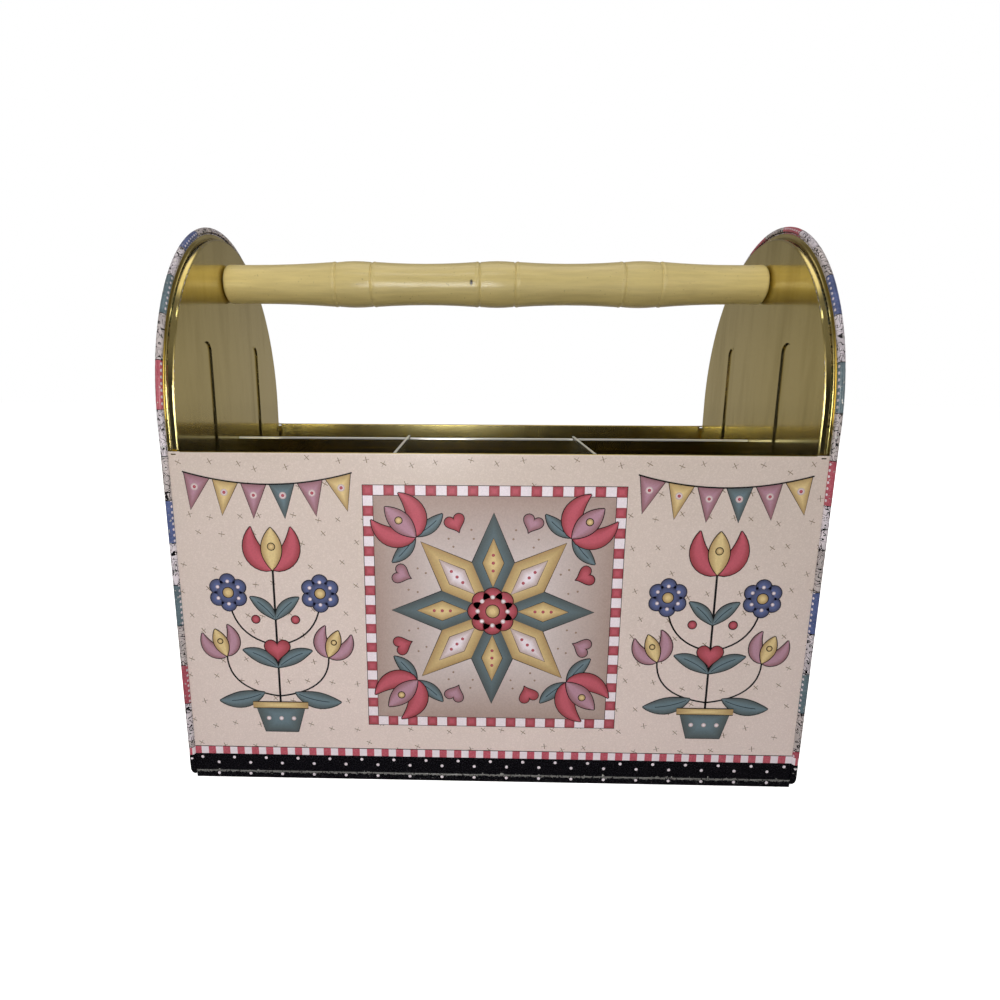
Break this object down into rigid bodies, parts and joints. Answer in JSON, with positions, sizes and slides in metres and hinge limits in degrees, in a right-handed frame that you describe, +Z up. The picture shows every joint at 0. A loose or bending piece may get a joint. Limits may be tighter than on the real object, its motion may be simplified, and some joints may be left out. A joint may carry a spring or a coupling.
{
  "type": "tin caddy",
  "caption": "Open-topped rectangular tin sewing caddy with dome-topped end panels, a turned wooden carrying handle, a lengthwise partition and loose cross dividers",
  "frame": {"origin": "middle of the floor contact: the bounding box's bottom centre", "axes": "+X along the length from the left to the right end panel, +Y from the front wall to the back wall, +Z up; the cross dividers are on the front side"},
  "size_m": [0.267, 0.141, 0.243],
  "materials": {
    "printed_tin": "glossy printed tinplate, cream ground outside, olive gold lacquer inside",
    "lacquered_tin": "tinplate with shiny olive gold lacquer",
    "divider_sheet": "thin clear plastic sheet with pale sawn edges",
    "lacquered_wood": "turned wood, pale yellow lacquer with bamboo-like rings",
    "screw_steel": "plain zinc-plated steel"
  },
  "bodies": {
    "box": {"left_end_panel": "printed_tin", "right_end_panel": "printed_tin", "front_wall": "printed_tin", "back_wall": "printed_tin", "base_pan": "printed_tin", "centre_partition": "lacquered_tin"},
    "grip": {"handle": "lacquered_wood", "left_handle_screw": "screw_steel", "right_handle_screw": "screw_steel"},
    "left_divider": {"left_cross_divider": "divider_sheet"},
    "right_divider": {"right_cross_divider": "divider_sheet"}
  },
  "joints": [
    {"name": "handle_spin", "type": "hinge", "parent": "box", "child": "grip", "pos_m": [0, 0, 0.2184], "axis": [1, 0, 0], "continuous": true},
    {"name": "left_divider_lift", "type": "slide", "parent": "box", "child": "left_divider", "axis": [0, 0, 1], "range_m": [0, 0.06]},
    {"name": "right_divider_lift", "type": "slide", "parent": "box", "child": "right_divider", "axis": [0, 0, 1], "range_m": [0, 0.06]}
  ]
}
